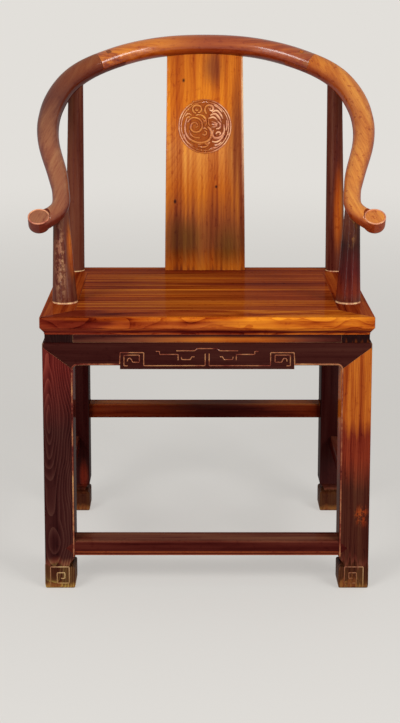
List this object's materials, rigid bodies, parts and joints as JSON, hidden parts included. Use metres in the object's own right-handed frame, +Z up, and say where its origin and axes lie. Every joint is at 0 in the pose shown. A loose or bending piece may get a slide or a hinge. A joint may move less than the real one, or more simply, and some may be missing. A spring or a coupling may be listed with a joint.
{
  "type": "horseshoe back armchair",
  "caption": "Hardwood armchair with a continuous horseshoe crest rail that slopes into scrolled hands, a medallion splat, a waisted frame seat and square legs on fret feet.",
  "frame": {"origin": "on the floor, under the middle of the bounding box", "axes": "+Z up, +Y towards the back, +X to the right as seen from the front"},
  "size_m": [0.6592, 0.5519, 0.9907],
  "materials": {
    "rail_wood": "polished and worn",
    "arm_wood": "polished and worn",
    "splat_wood": "polished and worn",
    "post_wood": "polished and worn",
    "leg_wood": "polished and worn",
    "seat_wood": "polished and worn",
    "waist_wood": "polished and worn",
    "apron_wood": "polished and worn",
    "stretcher_wood": "polished and worn",
    "hidden_wood": "polished and worn"
  },
  "bodies": {
    "root": {"rail_back": "rail_wood", "rail_left_arm": "arm_wood", "rail_right_arm": "arm_wood", "back_splat": "splat_wood", "front_left_post": "post_wood", "front_right_post": "post_wood", "front_left_leg": "leg_wood", "front_right_leg": "leg_wood", "rear_left_leg": "leg_wood", "rear_right_leg": "leg_wood", "seat_front_rail": "seat_wood", "seat_rear_rail": "seat_wood", "seat_left_rail": "seat_wood", "seat_right_rail": "seat_wood", "seat_panel": "seat_wood", "waist_front": "waist_wood", "waist_rear": "waist_wood", "waist_left": "waist_wood", "waist_right": "waist_wood", "apron_front": "apron_wood", "apron_rear": "apron_wood", "apron_left": "apron_wood", "apron_right": "apron_wood", "stretcher_front": "stretcher_wood", "stretcher_rear": "stretcher_wood", "stretcher_left": "stretcher_wood", "stretcher_right": "stretcher_wood", "seat_left_batten": "hidden_wood", "seat_right_batten": "hidden_wood", "rail_left_peg": "hidden_wood", "rail_right_peg": "hidden_wood"}
  },
  "joints": []
}
